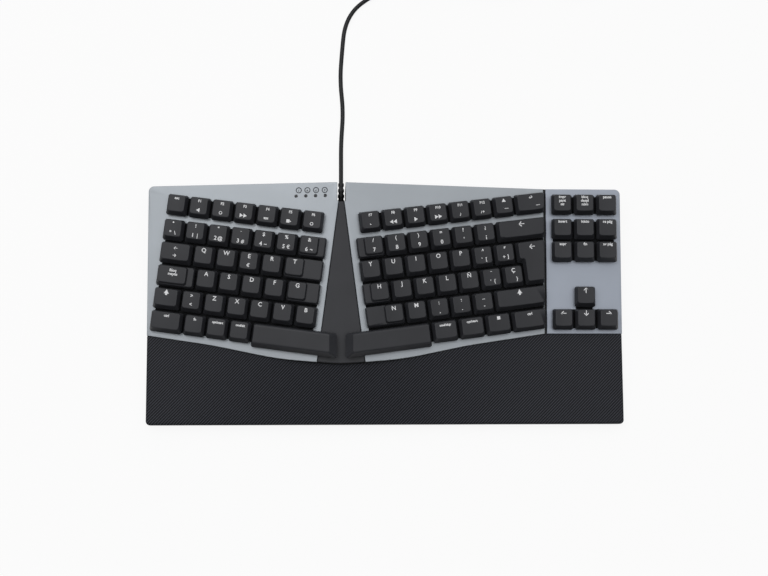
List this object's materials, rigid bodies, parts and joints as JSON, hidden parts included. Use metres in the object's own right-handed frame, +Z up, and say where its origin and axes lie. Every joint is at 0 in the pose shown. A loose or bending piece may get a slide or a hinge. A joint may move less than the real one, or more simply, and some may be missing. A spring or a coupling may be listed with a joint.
{
  "type": "split ergonomic keyboard",
  "caption": "Tented split keyboard in silver metal decks with black keys, a navigation block, a crowned palm rest, flip-out feet and a corded plug.",
  "frame": {"origin": "centre of the keyboard's outline on the desk, without the cord", "axes": "+X to the typist's right along the keyboard, +Y away from the typist, +Z up"},
  "size_m": [0.3976, 0.4236, 0.0475],
  "materials": {
    "deck_metal": "satin silver paint",
    "black_plastic": "fine matte",
    "key_plastic": "fine matte",
    "palm_plastic": "fine diagonal hatch",
    "board": "solder mask",
    "lens": "clear",
    "rubber": "matte",
    "steel": "plain",
    "cable": "satin"
  },
  "bodies": {
    "case": {"bottom_case": "black_plastic", "cable_hank": "cable", "cable_lead": "cable", "cable_tail": "cable", "cable_tie": "black_plastic", "case_screws": "steel", "center_panel": "black_plastic", "circuit_boards": "board", "indicator_lenses": "lens", "left_deck": "deck_metal", "nav_deck": "deck_metal", "palm_rest": "palm_plastic", "ribbon_cable": "cable", "right_deck": "deck_metal", "rubber_pads": "rubber", "stabilizer_guides": "black_plastic", "strain_relief": "cable", "switch_housings": "black_plastic", "usb_plug_body": "black_plastic", "usb_plug_shell": "steel"},
    "key_a": {"key_a": "key_plastic"},
    "key_b": {"key_b": "key_plastic"},
    "key_c": {"key_c": "key_plastic"},
    "key_c_cedilla": {"key_c_cedilla": "key_plastic"},
    "key_d": {"key_d": "key_plastic"},
    "key_e": {"key_e": "key_plastic"},
    "key_enter": {"key_enter": "key_plastic"},
    "key_f": {"key_f": "key_plastic"},
    "key_g": {"key_g": "key_plastic"},
    "key_h": {"key_h": "key_plastic"},
    "key_i": {"key_i": "key_plastic"},
    "key_j": {"key_j": "key_plastic"},
    "key_k": {"key_k": "key_plastic"},
    "key_l": {"key_l": "key_plastic"},
    "key_left_space": {"key_left_space": "key_plastic"},
    "key_m": {"key_m": "key_plastic"},
    "key_n": {"key_n": "key_plastic"},
    "key_n_tilde": {"key_n_tilde": "key_plastic"},
    "key_o": {"key_o": "key_plastic"},
    "key_p": {"key_p": "key_plastic"},
    "key_q": {"key_q": "key_plastic"},
    "key_r": {"key_r": "key_plastic"},
    "key_right_space": {"key_right_space": "key_plastic"},
    "key_s": {"key_s": "key_plastic"},
    "key_t": {"key_t": "key_plastic"},
    "key_u": {"key_u": "key_plastic"},
    "key_v": {"key_v": "key_plastic"},
    "key_w": {"key_w": "key_plastic"},
    "key_x": {"key_x": "key_plastic"},
    "key_y": {"key_y": "key_plastic"},
    "key_z": {"key_z": "key_plastic"},
    "keys_left_function": {"keys_left_function": "key_plastic"},
    "keys_left_modifier": {"keys_left_modifier": "key_plastic"},
    "keys_left_number": {"keys_left_number": "key_plastic"},
    "keys_navigation": {"keys_navigation": "key_plastic"},
    "keys_right_function": {"keys_right_function": "key_plastic"},
    "keys_right_modifier": {"keys_right_modifier": "key_plastic"},
    "keys_right_number": {"keys_right_number": "key_plastic"},
    "left_foot": {"left_foot": "black_plastic"},
    "right_foot": {"right_foot": "black_plastic"}
  },
  "joints": [
    {"name": "key_a_press", "type": "slide", "parent": "case", "child": "key_a", "axis": [0.1313, 0.0606, -0.9895], "range_m": [0, 0.003], "stiffness_N_per_m": 150, "springref_m": -0.003},
    {"name": "key_b_press", "type": "slide", "parent": "case", "child": "key_b", "axis": [0.1313, 0.0606, -0.9895], "range_m": [0, 0.003], "stiffness_N_per_m": 150, "springref_m": -0.003},
    {"name": "key_c_press", "type": "slide", "parent": "case", "child": "key_c", "axis": [0.1313, 0.0606, -0.9895], "range_m": [0, 0.003], "stiffness_N_per_m": 150, "springref_m": -0.003},
    {"name": "key_c_cedilla_press", "type": "slide", "parent": "case", "child": "key_c_cedilla", "axis": [-0.1313, 0.0606, -0.9895], "range_m": [0, 0.003], "stiffness_N_per_m": 150, "springref_m": -0.003},
    {"name": "key_d_press", "type": "slide", "parent": "case", "child": "key_d", "axis": [0.1313, 0.0606, -0.9895], "range_m": [0, 0.003], "stiffness_N_per_m": 150, "springref_m": -0.003},
    {"name": "key_e_press", "type": "slide", "parent": "case", "child": "key_e", "axis": [0.1313, 0.0606, -0.9895], "range_m": [0, 0.003], "stiffness_N_per_m": 150, "springref_m": -0.003},
    {"name": "key_enter_press", "type": "slide", "parent": "case", "child": "key_enter", "axis": [-0.1313, 0.0606, -0.9895], "range_m": [0, 0.003], "stiffness_N_per_m": 180, "springref_m": -0.003},
    {"name": "key_f_press", "type": "slide", "parent": "case", "child": "key_f", "axis": [0.1313, 0.0606, -0.9895], "range_m": [0, 0.003], "stiffness_N_per_m": 150, "springref_m": -0.003},
    {"name": "key_g_press", "type": "slide", "parent": "case", "child": "key_g", "axis": [0.1313, 0.0606, -0.9895], "range_m": [0, 0.003], "stiffness_N_per_m": 150, "springref_m": -0.003},
    {"name": "key_h_press", "type": "slide", "parent": "case", "child": "key_h", "axis": [-0.1313, 0.0606, -0.9895], "range_m": [0, 0.003], "stiffness_N_per_m": 150, "springref_m": -0.003},
    {"name": "key_i_press", "type": "slide", "parent": "case", "child": "key_i", "axis": [-0.1313, 0.0606, -0.9895], "range_m": [0, 0.003], "stiffness_N_per_m": 150, "springref_m": -0.003},
    {"name": "key_j_press", "type": "slide", "parent": "case", "child": "key_j", "axis": [-0.1313, 0.0606, -0.9895], "range_m": [0, 0.003], "stiffness_N_per_m": 150, "springref_m": -0.003},
    {"name": "key_k_press", "type": "slide", "parent": "case", "child": "key_k", "axis": [-0.1313, 0.0606, -0.9895], "range_m": [0, 0.003], "stiffness_N_per_m": 150, "springref_m": -0.003},
    {"name": "key_l_press", "type": "slide", "parent": "case", "child": "key_l", "axis": [-0.1313, 0.0606, -0.9895], "range_m": [0, 0.003], "stiffness_N_per_m": 150, "springref_m": -0.003},
    {"name": "key_left_space_press", "type": "slide", "parent": "case", "child": "key_left_space", "axis": [0.1313, 0.0606, -0.9895], "range_m": [0, 0.003], "stiffness_N_per_m": 180, "springref_m": -0.003},
    {"name": "key_m_press", "type": "slide", "parent": "case", "child": "key_m", "axis": [-0.1313, 0.0606, -0.9895], "range_m": [0, 0.003], "stiffness_N_per_m": 150, "springref_m": -0.003},
    {"name": "key_n_press", "type": "slide", "parent": "case", "child": "key_n", "axis": [-0.1313, 0.0606, -0.9895], "range_m": [0, 0.003], "stiffness_N_per_m": 150, "springref_m": -0.003},
    {"name": "key_n_tilde_press", "type": "slide", "parent": "case", "child": "key_n_tilde", "axis": [-0.1313, 0.0606, -0.9895], "range_m": [0, 0.003], "stiffness_N_per_m": 150, "springref_m": -0.003},
    {"name": "key_o_press", "type": "slide", "parent": "case", "child": "key_o", "axis": [-0.1313, 0.0606, -0.9895], "range_m": [0, 0.003], "stiffness_N_per_m": 150, "springref_m": -0.003},
    {"name": "key_p_press", "type": "slide", "parent": "case", "child": "key_p", "axis": [-0.1313, 0.0606, -0.9895], "range_m": [0, 0.003], "stiffness_N_per_m": 150, "springref_m": -0.003},
    {"name": "key_q_press", "type": "slide", "parent": "case", "child": "key_q", "axis": [0.1313, 0.0606, -0.9895], "range_m": [0, 0.003], "stiffness_N_per_m": 150, "springref_m": -0.003},
    {"name": "key_r_press", "type": "slide", "parent": "case", "child": "key_r", "axis": [0.1313, 0.0606, -0.9895], "range_m": [0, 0.003], "stiffness_N_per_m": 150, "springref_m": -0.003},
    {"name": "key_right_space_press", "type": "slide", "parent": "case", "child": "key_right_space", "axis": [-0.1313, 0.0606, -0.9895], "range_m": [0, 0.003], "stiffness_N_per_m": 180, "springref_m": -0.003},
    {"name": "key_s_press", "type": "slide", "parent": "case", "child": "key_s", "axis": [0.1313, 0.0606, -0.9895], "range_m": [0, 0.003], "stiffness_N_per_m": 150, "springref_m": -0.003},
    {"name": "key_t_press", "type": "slide", "parent": "case", "child": "key_t", "axis": [0.1313, 0.0606, -0.9895], "range_m": [0, 0.003], "stiffness_N_per_m": 150, "springref_m": -0.003},
    {"name": "key_u_press", "type": "slide", "parent": "case", "child": "key_u", "axis": [-0.1313, 0.0606, -0.9895], "range_m": [0, 0.003], "stiffness_N_per_m": 150, "springref_m": -0.003},
    {"name": "key_v_press", "type": "slide", "parent": "case", "child": "key_v", "axis": [0.1313, 0.0606, -0.9895], "range_m": [0, 0.003], "stiffness_N_per_m": 150, "springref_m": -0.003},
    {"name": "key_w_press", "type": "slide", "parent": "case", "child": "key_w", "axis": [0.1313, 0.0606, -0.9895], "range_m": [0, 0.003], "stiffness_N_per_m": 150, "springref_m": -0.003},
    {"name": "key_x_press", "type": "slide", "parent": "case", "child": "key_x", "axis": [0.1313, 0.0606, -0.9895], "range_m": [0, 0.003], "stiffness_N_per_m": 150, "springref_m": -0.003},
    {"name": "key_y_press", "type": "slide", "parent": "case", "child": "key_y", "axis": [-0.1313, 0.0606, -0.9895], "range_m": [0, 0.003], "stiffness_N_per_m": 150, "springref_m": -0.003},
    {"name": "key_z_press", "type": "slide", "parent": "case", "child": "key_z", "axis": [0.1313, 0.0606, -0.9895], "range_m": [0, 0.003], "stiffness_N_per_m": 150, "springref_m": -0.003},
    {"name": "keys_left_function_press", "type": "slide", "parent": "case", "child": "keys_left_function", "axis": [0.1313, 0.0606, -0.9895], "range_m": [0, 0.003], "stiffness_N_per_m": 1050, "springref_m": -0.003},
    {"name": "keys_left_modifier_press", "type": "slide", "parent": "case", "child": "keys_left_modifier", "axis": [0.1313, 0.0606, -0.9895], "range_m": [0, 0.003], "stiffness_N_per_m": 1200, "springref_m": -0.003},
    {"name": "keys_left_number_press", "type": "slide", "parent": "case", "child": "keys_left_number", "axis": [0.1313, 0.0606, -0.9895], "range_m": [0, 0.003], "stiffness_N_per_m": 1050, "springref_m": -0.003},
    {"name": "keys_navigation_press", "type": "slide", "parent": "case", "child": "keys_navigation", "axis": [0, 0.0611, -0.9981], "range_m": [0, 0.003], "stiffness_N_per_m": 1950, "springref_m": -0.003},
    {"name": "keys_right_function_press", "type": "slide", "parent": "case", "child": "keys_right_function", "axis": [-0.1313, 0.0606, -0.9895], "range_m": [0, 0.003], "stiffness_N_per_m": 1200, "springref_m": -0.003},
    {"name": "keys_right_modifier_press", "type": "slide", "parent": "case", "child": "keys_right_modifier", "axis": [-0.1313, 0.0606, -0.9895], "range_m": [0, 0.003], "stiffness_N_per_m": 1650, "springref_m": -0.003},
    {"name": "keys_right_number_press", "type": "slide", "parent": "case", "child": "keys_right_number", "axis": [-0.1313, 0.0606, -0.9895], "range_m": [0, 0.003], "stiffness_N_per_m": 1050, "springref_m": -0.003},
    {"name": "left_foot_flip", "type": "hinge", "parent": "case", "child": "left_foot", "pos_m": [-0.15625, 0.088, 0.0051], "axis": [1, 0, 0], "range_deg": [0, 90]},
    {"name": "right_foot_flip", "type": "hinge", "parent": "case", "child": "right_foot", "pos_m": [0.15625, 0.088, 0.0051], "axis": [1, 0, 0], "range_deg": [0, 90]}
  ]
}
